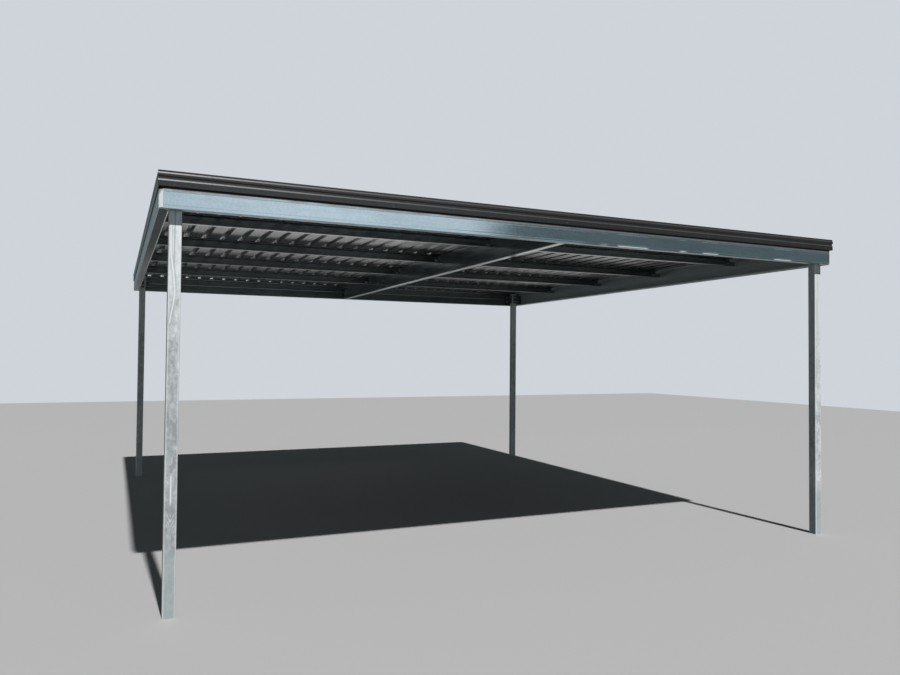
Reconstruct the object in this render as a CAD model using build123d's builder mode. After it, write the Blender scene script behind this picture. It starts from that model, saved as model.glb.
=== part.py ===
from build123d import *
import math
import os

# Double carport with a galvanised ring frame, a nearly flat ribbed roof and a grooved dark fascia.
# Millimetres. The front faces -Y, +X is to the right seen from the front, and the ground is z = 0.
# The origin is at the middle of the plan, on the ground.

# Overall sizes, taken over the outer faces of the four posts
post_span_x = 6756.0
post_span_y = 6880.0
front_clear = 2955.0  # ground to the underside of the front beam
roof_fall = 0.0075  # drop of the roof for each millimetre towards the back

# Posts: square hollow section
post_size = 90.0
post_wall = 3.0
post_corner = 7.0
post_top_gap = 12.0  # from the post's top to the roof sheets

# Ring beams and middle rafter: lipped channel with three shallow stiffening beads on the web's outside
beam_depth = 240.0
beam_flange = 76.0
beam_lip = 20.0
beam_steel = 2.4
beam_bend = 6.0
bead_edge = 14.0  # from the flange to the start of the outer beads
bead_height = 16.0
bead_depth = 1.0
bead_bend = 8.0
rafter_gap = 3.0  # between the rafter's ends and the lips of the front and back beams

# Purlins: plain lipped channel, open side uphill
purlin_depth = 102.0
purlin_flange = 51.0
purlin_lip = 15.0
purlin_steel = 1.6
purlin_bend = 4.5
purlin_rows = 4
purlin_gap = 3.0  # between a purlin's ends and the beams beside it

# Corner plates with a 45 degree face, and folded cleats
corner_cut = 32.0  # how far the webs stop short of the ring's corner
corner_leg = 75.0
corner_steel = 2.0
corner_margin = 8.0  # from a beam's top and bottom to the plates' edges
cleat_steel = 3.0
cleat_clear = 45.0  # from a beam's top to a cleat's top, below the lip and the upper bead
post_cleat_height = 150.0
post_cleat_leg = 60.0
post_cleat_lap = 70.0
rafter_cleat_height = 140.0
rafter_cleat_leg = 60.0
rafter_cleat_lap = 85.0
purlin_cleat_height = 50.0
purlin_cleat_leg = 50.0
purlin_cleat_lap = 60.0

# Roof sheets: trapezoidal ribs from front to back
rib_pitch = 190.0
rib_height = 28.0
rib_base = 64.0
rib_crest = 28.0
sheet_steel = 0.55
sheet_rib_count = 4
lap_gap = 0.2  # between the two sheets at a side lap
sheet_edge = 20.0  # smallest distance from the ring's outer face to the first rib's middle
sheet_setback = 3.0  # from the front beam's face to the sheets' front edge
sheet_overhang = 40.0  # past the back beam, over the gutter

# Fascia and barges: one grooved flashing, set back at its top edge and in one groove
flashing_steel = 0.6
flashing_bend = 2.0
flashing_depth = 116.0
flashing_stand = 11.0  # from the beam's face to the middle band
flashing_set_back = 4.0  # from the middle band to the top one
flashing_low_back = 2.0  # from the middle band to the low one, room for the rivets' heads
flashing_rise = 4.5  # from the ribs to the top edge
flashing_top_band = 14.0
flashing_ledge = 11.0  # height of a slope that faces up
flashing_middle_band = 16.0
flashing_undercut = 8.0  # height of the slope that faces down
flashing_inner_band = 15.0
flashing_lap = 130.0  # leg over the ribs
flashing_seat = 65.0  # part of the leg that lies on the ribs

# Box gutter behind the back beam
gutter_width = 115.0
gutter_height = 100.0
gutter_front_height = 78.0
gutter_drop = 6.0  # from the roof sheets' underside to the gutter's back edge
gutter_steel = 0.6
gutter_bead = 14.0
gutter_bead_drop = 8.0
gutter_setback = 5.0  # from the ring's outer face to the gutter's end
gutter_end_steel = 1.0
bracket_steel = 3.0
bracket_width = 25.0
bracket_leg = 60.0
bracket_spacing = 1100.0
outlet_radius = 40.0
outlet_wall = 1.5
outlet_length = 55.0
outlet_margin = 16.0  # from the tube to the ends of its plate

# Places worked out from the sizes
ring_width = post_span_x + 2 * beam_flange
ring_depth = post_span_y + 2 * beam_flange
plan_depth = flashing_stand + ring_depth + bead_depth + gutter_width
ring_right = ring_width / 2
ring_left = -ring_right
ring_front = flashing_stand - plan_depth / 2
ring_back = ring_front + ring_depth
gutter_back = ring_back + bead_depth  # the gutter lies on the back beam's beads
lips_front = ring_front + beam_flange
lips_back = ring_back - beam_flange
rafter_x = -beam_flange / 2
downhill = Vector(0, 1, -roof_fall)
slope_length = downhill.length  # length along the slope for each millimetre in plan
sheet_front = ring_front + sheet_setback
sheet_back = ring_back + sheet_overhang
crest_rise = rib_height + sheet_steel  # from the deck to the top of a rib
rib_pitches = int((ring_width - 2 * sheet_edge) // rib_pitch)
sheet_count = math.ceil(rib_pitches / sheet_rib_count)
first_rib = -rib_pitches * rib_pitch / 2
purlin_spacing = ring_depth / (purlin_rows + 1)
gutter_left = ring_left + gutter_setback
gutter_length = ring_width - 2 * gutter_setback
gutter_bottom = -gutter_drop - gutter_height  # below the deck at the back beam
bracket_count = int(gutter_length // bracket_spacing) + 1
bracket_pitch = gutter_length / bracket_count
outlet_x = ring_right - gutter_setback - bracket_pitch
outlet_plate = 2 * (outlet_radius + outlet_margin)

os.makedirs("parts", exist_ok=True)


def deck_height(y):
    """Height of the roof sheets' underside at a place along the fall."""
    return front_clear + beam_depth - roof_fall * (y - lips_front)


def across(x, y, z, facing=1):
    """Section plane of a piece that runs along X: its own x is along Y times facing, its own y is up."""
    return Plane(origin=(x, y, z), x_dir=(0, facing, 0), z_dir=(facing, 0, 0))


def along(x, y, z, facing=1):
    """Section plane of a piece that runs downhill: its own x is along X times facing, its own y is up."""
    return Plane(origin=(x, y, z), x_dir=(facing, 0, 0), z_dir=(0, -facing, 0))


def left_of(start, end):
    """Unit direction from start to end, turned a quarter turn to the left."""
    run = Vector(*end) - Vector(*start)
    return Vector(-run.Y, run.X).normalized()


def folded_strip(plane, points, steel, bends=None):
    """Section of a folded strip: a line of points, with its steel on the line's left side."""
    normals = [left_of(start, end) for start, end in zip(points, points[1:])]
    far_line = [Vector(*points[0]) + normals[0] * steel]
    far_bends = []
    for index, (before, after) in enumerate(zip(normals, normals[1:])):
        mitre_step = (before + after) * (steel / (1 + before.dot(after)))
        far_line.append(Vector(*points[index + 1]) + mitre_step)
        if bends:
            turn = math.copysign(1, before.cross(after).Z)
            far_bends.append(bends[index] - turn * steel)
    far_line.append(Vector(*points[-1]) + normals[-1] * steel)
    outline = [Vector(*point) for point in points] + far_line[::-1]
    with BuildSketch(plane) as section:
        with BuildLine():
            if bends:
                FilletPolyline(*outline, radius=[0, *bends, 0, 0, *far_bends[::-1], 0], close=True)
            else:
                Polyline(*outline, close=True)
        make_face()
    return section.sketch


def beam_section(plane):
    """Lipped channel of the ring beams and the rafter, open towards the plane's x."""
    first_bead = bead_edge + bead_height / 2
    bead_middles = [first_bead, beam_depth / 2, beam_depth - first_bead]
    points = [(beam_flange, -beam_lip), (beam_flange, 0), (0, 0)]
    for middle in bead_middles:
        points += [
            (0, bead_height / 2 - middle),
            (-bead_depth, -middle),
            (0, -bead_height / 2 - middle),
        ]
    points += [(0, -beam_depth), (beam_flange, -beam_depth), (beam_flange, beam_lip - beam_depth)]
    bends = [beam_bend] * 2 + [bead_bend] * 3 * len(bead_middles) + [beam_bend] * 2
    return folded_strip(plane, points, beam_steel, bends)


def purlin_section(plane):
    """Lipped channel of a purlin, its web at the plane's origin and its open side uphill."""
    points = [
        (-purlin_flange, purlin_lip - purlin_depth),
        (-purlin_flange, -purlin_depth),
        (0, -purlin_depth),
        (0, 0),
        (-purlin_flange, 0),
        (-purlin_flange, -purlin_lip),
    ]
    return folded_strip(plane, points, purlin_steel, [purlin_bend] * 4)


def flashing_section(plane, fall=0):
    """Edge flashing: a leg over the ribs, a set back top band, one groove, a low band and a return."""
    seat = crest_rise + flashing_steel * math.hypot(1, fall)
    top = seat + flashing_rise
    outer = -flashing_stand
    inner = flashing_set_back - flashing_stand
    low = flashing_low_back - flashing_stand
    groove = low + flashing_set_back
    first_ledge = top - flashing_top_band
    middle_top = first_ledge - flashing_ledge
    middle_bottom = middle_top - flashing_middle_band
    groove_top = middle_bottom - flashing_undercut
    second_ledge = groove_top - flashing_inner_band
    points = [
        (flashing_lap, seat),
        (flashing_lap - flashing_seat, seat),
        (inner, top),
        (inner, first_ledge),
        (outer, middle_top),
        (outer, middle_bottom),
        (groove, groove_top),
        (groove, second_ledge),
        (low, second_ledge - flashing_ledge),
        (low, top - flashing_depth),
        (-fall * flashing_steel, top - flashing_depth),
    ]
    sloped = [(out, height - fall * out) for out, height in points]
    return folded_strip(plane, sloped, flashing_steel, [flashing_bend] * (len(points) - 2))


def mitre(x_sign, y_sign, keep_x, keep_y):
    """Vertical plane through a corner of the ring, at 45 degrees, with its normal on the kept side."""
    corner = (x_sign * ring_right, ring_front if y_sign < 0 else ring_back, 0)
    return Plane(origin=corner, z_dir=(keep_x, keep_y, 0))


def corner_face(x_sign, y_sign):
    """Vertical plane that cuts off a corner of the ring, with its normal towards the middle."""
    x = x_sign * (ring_right - corner_cut / 2)
    y = ring_front + corner_cut / 2 if y_sign < 0 else ring_back - corner_cut / 2
    return Plane(origin=(x, y, 0), z_dir=(-x_sign, -y_sign, 0))


def angle_outline(leg_x, leg_y, steel):
    """Outline of a folded angle seen from above, its outer corner at the origin."""
    side_x = math.copysign(steel, leg_x)
    side_y = math.copysign(steel, leg_y)
    return [(0, 0), (leg_x, 0), (leg_x, side_y), (side_x, side_y), (side_x, leg_y), (0, leg_y), (0, 0)]


def angle_face(x, y, z, leg_x, leg_y):
    """Horizontal section of a folded cleat at the height z."""
    with BuildSketch(Plane(origin=(x, y, z))) as section:
        with BuildLine():
            Polyline(*angle_outline(leg_x, leg_y, cleat_steel))
        make_face()
    return section.sketch


def finish(builder, name):
    """Label a finished piece and write it."""
    builder.part.label = name
    export_step(builder.part, f"parts/{name}.step")


# Posts, cut square below the roof sheets
corners = {
    "front_left": (-1, -1),
    "front_right": (1, -1),
    "back_left": (-1, 1),
    "back_right": (1, 1),
}
for place, (x_sign, y_sign) in corners.items():
    post_x = x_sign * (post_span_x - post_size) / 2
    post_y = (lips_front + lips_back) / 2 + y_sign * (post_span_y - post_size) / 2
    with BuildPart() as post:
        with BuildSketch(Plane(origin=(post_x, post_y, 0))):
            RectangleRounded(post_size, post_size, post_corner)
            inner_size = post_size - 2 * post_wall
            RectangleRounded(inner_size, inner_size, post_corner - post_wall, mode=Mode.SUBTRACT)
        extrude(amount=deck_height(post_y + post_size / 2) - post_top_gap)
    finish(post, f"post_{place}")

# Front and back beams, mitred at the ring's corners
with BuildPart() as front_beam:
    extrude(beam_section(across(ring_left, ring_front, deck_height(lips_front))), amount=ring_width)
    for side in (-1, 1):
        split(bisect_by=mitre(side, -1, -side, -1))
        split(bisect_by=corner_face(side, -1))
finish(front_beam, "front_beam")

with BuildPart() as back_beam:
    extrude(beam_section(across(ring_right, ring_back, deck_height(ring_back), -1)), amount=ring_width)
    for side in (-1, 1):
        split(bisect_by=mitre(side, 1, -side, 1))
        split(bisect_by=corner_face(side, 1))
finish(back_beam, "back_beam")

# Side beams follow the fall of the roof
for name, x_sign in {"left": -1, "right": 1}.items():
    with BuildPart() as side_beam:
        section_plane = along(x_sign * ring_right, ring_front, deck_height(ring_front), -x_sign)
        extrude(beam_section(section_plane), amount=ring_depth * slope_length, dir=downhill)
        for end in (-1, 1):
            split(bisect_by=mitre(x_sign, end, x_sign, -end))
            split(bisect_by=corner_face(x_sign, end))
    finish(side_beam, f"side_beam_{name}")

# Middle rafter between the front and back beams
with BuildPart() as rafter:
    rafter_front = lips_front + rafter_gap
    rafter_run = lips_back - rafter_gap - rafter_front
    section_plane = along(rafter_x, rafter_front, deck_height(rafter_front))
    extrude(beam_section(section_plane), amount=rafter_run * slope_length, dir=downhill)
finish(rafter, "middle_rafter")

# Purlins, level between the side beams and the rafter
bays = {
    "left": (ring_left + beam_flange + purlin_gap, rafter_x - purlin_gap),
    "right": (rafter_x + beam_flange + purlin_gap, ring_right - beam_flange - purlin_gap),
}
purlin_places = [ring_front + purlin_spacing * (row + 1) for row in range(purlin_rows)]
for row, purlin_y in enumerate(purlin_places, start=1):
    for bay, (bay_left, bay_right) in bays.items():
        with BuildPart() as purlin:
            section_plane = across(bay_left, purlin_y, deck_height(purlin_y))
            extrude(purlin_section(section_plane), amount=bay_right - bay_left)
        finish(purlin, f"purlin_{bay}_{row}")

# Corner plates: a 45 degree face between two legs that lie against the webs' insides
for name, y_sign in {"front": -1, "back": 1}.items():
    ring_y = ring_front if y_sign < 0 else ring_back
    deck_y = lips_front if y_sign < 0 else ring_back
    plate_bottom = deck_height(deck_y) - beam_depth + corner_margin
    with BuildPart() as corner_plates:
        for x_sign in (-1, 1):
            points = [
                (beam_steel, corner_leg),
                (beam_steel, corner_cut),
                (corner_cut, beam_steel),
                (corner_leg, beam_steel),
            ]
            outer_line = [(-x_sign * x, -y_sign * y) for x, y in points]
            if x_sign != y_sign:
                outer_line.reverse()
            plate_plane = Plane(origin=(x_sign * ring_right, ring_y, plate_bottom))
            plate_section = folded_strip(plate_plane, outer_line, corner_steel)
            extrude(plate_section, amount=beam_depth - 2 * corner_margin)
    finish(corner_plates, f"corner_plates_{name}")

# Cleats that bolt each post to the two beams beside it
for place, (x_sign, y_sign) in corners.items():
    ring_x = x_sign * ring_right
    ring_y = ring_front if y_sign < 0 else ring_back
    cleat_bottom = deck_height(ring_y) - cleat_clear - post_cleat_height
    reach = beam_flange - beam_steel + post_cleat_lap
    past_post = beam_flange + post_size
    with BuildPart() as post_cleats:
        cross_cleat = angle_face(
            ring_x - x_sign * past_post,
            ring_y - y_sign * beam_steel,
            cleat_bottom,
            -x_sign * post_cleat_leg,
            -y_sign * reach,
        )
        extrude(cross_cleat, amount=post_cleat_height)
        side_cleat = angle_face(
            ring_x - x_sign * beam_steel,
            ring_y - y_sign * past_post,
            cleat_bottom,
            -x_sign * reach,
            -y_sign * post_cleat_leg,
        )
        extrude(side_cleat, amount=post_cleat_height)
    finish(post_cleats, f"post_cleats_{place}")

# Cleats at the rafter's two ends, inside the channels
with BuildPart() as rafter_cleats:
    for ring_y, inward in ((ring_front, 1), (ring_back, -1)):
        cleat_bottom = deck_height(ring_y) - cleat_clear - rafter_cleat_height
        reach = beam_flange - beam_steel + rafter_gap + rafter_cleat_lap
        end_cleat = angle_face(
            rafter_x + beam_steel,
            ring_y + inward * beam_steel,
            cleat_bottom,
            rafter_cleat_leg,
            inward * reach,
        )
        extrude(end_cleat, amount=rafter_cleat_height)
finish(rafter_cleats, "rafter_cleats")

# Purlin cleats: one line of them on each face that carries purlins
inside_reach = beam_flange - beam_steel + purlin_gap + purlin_cleat_lap
web_reach = purlin_gap + purlin_cleat_lap
cleat_lines = {
    "side_left": (ring_left + beam_steel, inside_reach),
    "rafter_left": (rafter_x, -web_reach),
    "rafter_right": (rafter_x + beam_steel, inside_reach),
    "side_right": (ring_right - beam_steel, -inside_reach),
}
for name, (cleat_x, leg_x) in cleat_lines.items():
    with BuildPart() as purlin_cleats:
        for purlin_y in purlin_places:
            cleat_bottom = deck_height(purlin_y) - cleat_clear - purlin_cleat_height
            purlin_cleat = angle_face(cleat_x, purlin_y, cleat_bottom, leg_x, purlin_cleat_leg)
            extrude(purlin_cleat, amount=purlin_cleat_height)
    finish(purlin_cleats, f"purlin_cleats_{name}")


def sheet_points(start, pitches):
    """Underside of one roof sheet: a lapping rib, plain ribs, then a smaller rib that is lapped."""
    lean = (rib_base - rib_crest) / 2 / rib_height
    inset = sheet_steel + lap_gap
    side_inset = inset * math.hypot(1, lean)
    half_base = rib_base / 2
    half_crest = rib_crest / 2
    points = [
        (start - half_base + lean * inset, inset),
        (start - half_crest, rib_height),
        (start + half_crest, rib_height),
        (start + half_base, 0),
    ]
    for rib in range(1, pitches):
        middle = start + rib * rib_pitch
        points += [
            (middle - half_base, 0),
            (middle - half_crest, rib_height),
            (middle + half_crest, rib_height),
            (middle + half_base, 0),
        ]
    last = start + pitches * rib_pitch
    lapped_crest = half_crest - side_inset + lean * inset
    lapped_foot = rib_height / 3
    points += [
        (last - half_base + side_inset, 0),
        (last - lapped_crest, rib_height - inset),
        (last + lapped_crest, rib_height - inset),
        (last + half_base - side_inset - lean * lapped_foot, lapped_foot),
    ]
    return points


# Roof sheets, lapped over one rib
for sheet in range(sheet_count):
    first_pitch = sheet * sheet_rib_count
    pitches = min(sheet_rib_count, rib_pitches - first_pitch)
    with BuildPart() as roof_sheet:
        section_plane = along(0, sheet_front, deck_height(sheet_front))
        points = sheet_points(first_rib + first_pitch * rib_pitch, pitches)
        section = folded_strip(section_plane, points, sheet_steel)
        extrude(section, amount=(sheet_back - sheet_front) * slope_length, dir=downhill)
    finish(roof_sheet, f"roof_sheet_{sheet + 1}")

# Front fascia and the two barges, mitred at the front corners
with BuildPart() as front_fascia:
    fascia_plane = across(ring_left - flashing_stand, ring_front, deck_height(ring_front))
    fascia_section = flashing_section(fascia_plane, roof_fall)
    extrude(fascia_section, amount=ring_width + 2 * flashing_stand)
    for side in (-1, 1):
        split(bisect_by=mitre(side, -1, -side, -1))
finish(front_fascia, "front_fascia")

for name, x_sign in {"left": -1, "right": 1}.items():
    barge_front = ring_front - flashing_stand
    with BuildPart() as barge:
        barge_plane = along(x_sign * ring_right, barge_front, deck_height(barge_front), -x_sign)
        barge_run = (sheet_back - barge_front) * slope_length
        extrude(flashing_section(barge_plane), amount=barge_run, dir=downhill)
        split(bisect_by=mitre(x_sign, -1, x_sign, 1))
    finish(barge, f"barge_{name}")

# Gutter behind the back beam, level: its walls, and a base on both sides of the outlet's plate
gutter_z = deck_height(ring_back)
gutter_base_z = gutter_z + gutter_bottom
gutter_middle_y = gutter_back + gutter_width / 2
gutter_room = gutter_width - 2 * gutter_steel
with BuildPart() as gutter_walls:
    gutter_lip = gutter_bottom + gutter_front_height
    front_wall = [
        (gutter_width, gutter_bottom),
        (gutter_width, gutter_lip),
        (gutter_width - gutter_bead, gutter_lip),
        (gutter_width - gutter_bead, gutter_lip - gutter_bead_drop),
    ]
    back_wall = [(0, -gutter_drop), (0, gutter_bottom)]
    gutter_plane = across(gutter_left, gutter_back, gutter_z)
    for points in (front_wall, back_wall):
        extrude(folded_strip(gutter_plane, points, gutter_steel), amount=gutter_length)
finish(gutter_walls, "gutter_walls")

with BuildPart() as gutter_base:
    base_runs = [
        (gutter_left, outlet_x - outlet_plate / 2),
        (outlet_x + outlet_plate / 2, gutter_left + gutter_length),
    ]
    for run_left, run_right in base_runs:
        run_middle = (run_left + run_right) / 2
        with BuildSketch(Plane(origin=(run_middle, gutter_middle_y, gutter_base_z))):
            Rectangle(run_right - run_left, gutter_room)
        extrude(amount=gutter_steel)
finish(gutter_base, "gutter_base")

with BuildPart() as gutter_outlet:
    with BuildSketch(Plane(origin=(outlet_x, gutter_middle_y, gutter_base_z))):
        Rectangle(outlet_plate, gutter_room)
        Circle(outlet_radius - outlet_wall, mode=Mode.SUBTRACT)
    extrude(amount=outlet_wall)
    with BuildSketch(Plane(origin=(outlet_x, gutter_middle_y, gutter_base_z))):
        Circle(outlet_radius)
        Circle(outlet_radius - outlet_wall, mode=Mode.SUBTRACT)
    extrude(amount=-outlet_length)
finish(gutter_outlet, "gutter_outlet")

with BuildPart() as gutter_ends:
    for end_x in (gutter_left - gutter_end_steel, gutter_left + gutter_length):
        with BuildSketch(across(end_x, gutter_back, gutter_z)):
            with BuildLine():
                Polyline(
                    (0, -gutter_drop),
                    (0, gutter_bottom),
                    (gutter_width, gutter_bottom),
                    (gutter_width, gutter_lip),
                    (0, -gutter_drop),
                )
            make_face()
        extrude(amount=gutter_end_steel)
finish(gutter_ends, "gutter_ends")

with BuildPart() as gutter_brackets:
    points = [(gutter_width, gutter_bottom), (0, gutter_bottom), (0, gutter_bottom - bracket_leg)]
    for bracket in range(bracket_count):
        bracket_x = gutter_left + (bracket + 0.5) * bracket_pitch
        bracket_plane = across(bracket_x - bracket_width / 2, gutter_back, gutter_z)
        extrude(folded_strip(bracket_plane, points, bracket_steel), amount=bracket_width)
finish(gutter_brackets, "gutter_brackets")
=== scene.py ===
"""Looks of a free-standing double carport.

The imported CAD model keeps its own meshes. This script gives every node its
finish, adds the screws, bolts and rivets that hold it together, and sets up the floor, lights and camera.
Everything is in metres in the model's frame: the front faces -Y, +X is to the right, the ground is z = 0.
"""

from __future__ import annotations

import logging
import math
from dataclasses import dataclass, field, replace
from enum import Enum
from typing import Any, Iterable, NamedTuple

import bpy
from mathutils import Matrix, Vector

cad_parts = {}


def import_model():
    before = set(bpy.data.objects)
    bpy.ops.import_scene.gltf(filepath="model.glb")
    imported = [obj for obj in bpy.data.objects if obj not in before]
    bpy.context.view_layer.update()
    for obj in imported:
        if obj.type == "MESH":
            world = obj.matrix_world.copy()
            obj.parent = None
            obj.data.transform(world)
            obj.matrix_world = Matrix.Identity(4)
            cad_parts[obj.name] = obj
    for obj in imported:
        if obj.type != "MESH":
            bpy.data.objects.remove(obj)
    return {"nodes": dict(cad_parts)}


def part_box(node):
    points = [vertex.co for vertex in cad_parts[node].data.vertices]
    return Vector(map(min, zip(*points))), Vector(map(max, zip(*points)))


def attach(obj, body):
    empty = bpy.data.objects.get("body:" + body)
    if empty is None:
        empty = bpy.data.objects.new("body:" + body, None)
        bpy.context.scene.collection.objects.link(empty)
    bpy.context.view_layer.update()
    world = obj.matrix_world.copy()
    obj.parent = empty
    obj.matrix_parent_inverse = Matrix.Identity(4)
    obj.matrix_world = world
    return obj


LOG = logging.getLogger("carport")
BODY = "root"
MIX_SOCKETS = (0, 6, 7)  # a Mix node's amount and its two colours

Colour = tuple[float, float, float]
Point = tuple[float, float, float]
Pair = tuple[float, float]
Rise = tuple[float, float]  # a mask is 0 at the first value and 1 at the second
Bump = tuple[float, float]  # depth in metres, and strength
Shares = tuple[float, ...]  # a base value, and then the share of each shade
Material = bpy.types.Material
Piece = bpy.types.Object


class Slot(str, Enum):
    """The record's material slots."""

    STEEL = "galvanised_steel"
    ROOF = "roof_sheet"
    FLASHING = "dark_flashing"


class Run(Enum):
    """The way a length of rolled steel runs, as the stretch of its pattern along X, Y and Z."""

    ALONG_X = (0.12, 1.0, 1.0)
    ALONG_Y = (1.0, 0.12, 1.0)
    ALONG_Z = (1.0, 1.0, 0.12)


class Pattern(NamedTuple):
    """A texture's bumps or cells for each metre, their stretch along each axis, finer layers and contrast."""

    scale: float
    stretch: Point = (1.0, 1.0, 1.0)
    detail: float = 3.0
    rise: Rise | None = None

    def along(self, run: Run) -> Pattern:
        """The same pattern, drawn out along a length of steel."""
        return self._replace(stretch=run.value)


class Layer(NamedTuple):
    """A colour that lies over metal, and the share of the metal's shine that it takes away."""

    colour: Colour
    dulls: float = 0.0


class Facing(Enum):
    """The way the head of a screw, bolt or rivet looks."""

    UP = (0.0, 0.0, 1.0)
    FRONT = (0.0, -1.0, 0.0)
    BACK = (0.0, 1.0, 0.0)
    LEFT = (-1.0, 0.0, 0.0)
    RIGHT = (1.0, 0.0, 0.0)


Seat = tuple[Point, Facing]


class Corner(Enum):
    """A corner of the plan, as the signs of its x and y."""

    FRONT_LEFT = (-1, -1)
    FRONT_RIGHT = (1, -1)
    BACK_LEFT = (-1, 1)
    BACK_RIGHT = (1, 1)

    def node(self, kind: str) -> str:
        """Name of that kind of node at this corner."""
        return f"{kind}_{self.name.lower()}"


@dataclass(frozen=True)
class Shade:
    """One output socket, with shader maths written as Python expressions."""

    paint: Paint
    socket: bpy.types.NodeSocket

    def __add__(self, other: Value) -> Shade:
        """Sum of two values."""
        return self.paint.maths("ADD", self, other)

    def __sub__(self, other: Value) -> Shade:
        """Difference of two values."""
        return self.paint.maths("SUBTRACT", self, other)

    def __rsub__(self, other: float) -> Shade:
        """Difference from a number on the left."""
        return self.paint.maths("SUBTRACT", other, self)

    def __mul__(self, other: Value) -> Shade:
        """Product of two values."""
        return self.paint.maths("MULTIPLY", self, other)

    __radd__ = __add__
    __rmul__ = __mul__

    def out(self, name: str) -> Shade:
        """The same node's output of that name."""
        return Shade(self.paint, self.socket.node.outputs[name])

    def __abs__(self) -> Shade:
        """Size of a value without its sign."""
        return self.paint.maths("ABSOLUTE", self)

    def sine(self) -> Shade:
        """Sine of a value in radians."""
        return self.paint.maths("SINE", self)

    def step(self, low: float, high: float) -> Shade:
        """Smooth rise from 0 at low to 1 at high.

        Args:
            low: Value at which the rise starts. It may lie above high, and then the result falls.
            high: Value at which it ends.

        Returns:
            The value between 0 and 1.
        """
        values = {"Value": self, "From Min": min(low, high), "From Max": max(low, high)}
        risen = self.paint.node("ShaderNodeMapRange", values, interpolation_type="SMOOTHSTEP")
        return risen if low <= high else 1.0 - risen


Value = Shade | float


def blend(shares: Shares, *shades: Shade) -> Shade:
    """Sum of a base value, the first of the shares, and of each shade times its own share."""
    return sum((share * shade for share, shade in zip(shares[1:], shades)), shares[0])


class Paint:
    """Builds the nodes of one material."""

    def __init__(self, name: str) -> None:
        """Starts an empty material with its coordinates.

        Args:
            name: Name of the material.
        """
        self.material = bpy.data.materials.new(name)
        self.material.use_nodes = True
        self.tree = self.material.node_tree
        self.tree.nodes.clear()
        coordinates = self.node("ShaderNodeTexCoord")
        self.place = coordinates.out("Object")
        self.normal = coordinates.out("Normal")
        self.x, self.y, self.z = self.parts(self.place)

    def node(self, kind: str, values: dict | None = None, **settings: Any) -> Shade:
        """Makes one node.

        Args:
            kind: The node's type.
            values: Numbers, colours or shades for its input sockets, by name or place.
            settings: Its properties, set before its sockets.

        Returns:
            The node's first output that is in use.
        """
        node = self.tree.nodes.new(kind)
        for name, setting in settings.items():
            setattr(node, name, setting)
        for name, value in (values or {}).items():
            socket = node.inputs[name]
            if isinstance(value, Shade):
                self.tree.links.new(value.socket, socket)
            else:
                socket.default_value = (*value, 1.0) if socket.type == "RGBA" else value
        return Shade(self, next((socket for socket in node.outputs if socket.enabled), None))

    def maths(self, operation: str, *values: Value) -> Shade:
        """Result of one Math node."""
        return self.node("ShaderNodeMath", dict(enumerate(values)), operation=operation)

    def parts(self, vector: Shade) -> tuple[Shade, Shade, Shade]:
        """The three parts of a vector."""
        split = self.node("ShaderNodeSeparateXYZ", {0: vector})
        return split.out("X"), split.out("Y"), split.out("Z")

    def texture(self, kind: str, pattern: Pattern, **values: float) -> Shade:
        """A texture, with its coordinates stretched as the pattern says."""
        place = self.node("ShaderNodeVectorMath", {0: self.place, 1: pattern.stretch}, operation="MULTIPLY")
        return self.node(kind, {"Vector": place, "Scale": pattern.scale, **values})

    def noise(self, pattern: Pattern) -> Shade:
        """Noise between 0 and 1, cut to the pattern's rise where it has one."""
        noise = self.texture("ShaderNodeTexNoise", pattern, Detail=pattern.detail)
        return noise.step(*pattern.rise) if pattern.rise else noise

    def spangle(self, pattern: Pattern) -> Shade:
        """A number between 0 and 1 for each zinc crystal."""
        cells = self.texture("ShaderNodeTexVoronoi", pattern, Randomness=1.0)
        return self.node("ShaderNodeSeparateColor", {0: cells.out("Color")})

    def mix(self, amount: Value, first: Shade | Colour, second: Shade | Colour) -> Shade:
        """Blend of two colours, where an amount of 0 gives the first and 1 the second."""
        values = dict(zip(MIX_SOCKETS, (amount, first, second)))
        return self.node("ShaderNodeMix", values, data_type="RGBA", clamp_factor=True)

    def bump(self, height: Shade, depth: float, strength: float) -> Shade:
        """Normal of a surface that a height of 0 to 1 disturbs, where 1 stands for the depth in metres."""
        return self.node("ShaderNodeBump", {"Height": height, "Distance": depth, "Strength": strength})

    def surface(self, colour: Shade | Colour, **sockets: Value) -> Material:
        """Ends the material with its surface shader.

        Args:
            colour: Base colour.
            sockets: Values of the shader's other sockets, with underscores for spaces.

        Returns:
            The finished material.
        """
        others = {name.replace("_", " "): value for name, value in sockets.items()}
        shader = self.node("ShaderNodeBsdfPrincipled", {"Base Color": colour, **others})
        self.node("ShaderNodeOutputMaterial", {"Surface": shader})
        return self.material


@dataclass
class Coat:
    """How a surface looks so far, before its next layer."""

    paint: Paint
    colour: Shade
    metal: Value
    rough: Shade

    def lay(self, amount: Value, layer: Layer) -> None:
        """Covers the coat with one more layer.

        Args:
            amount: How much of it, from 0 to 1.
            layer: Its colour, and how far it dulls the metal.
        """
        self.colour = self.paint.mix(amount, self.colour, layer.colour)
        if layer.dulls:
            self.metal = (1.0 - layer.dulls * amount) * self.metal


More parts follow.
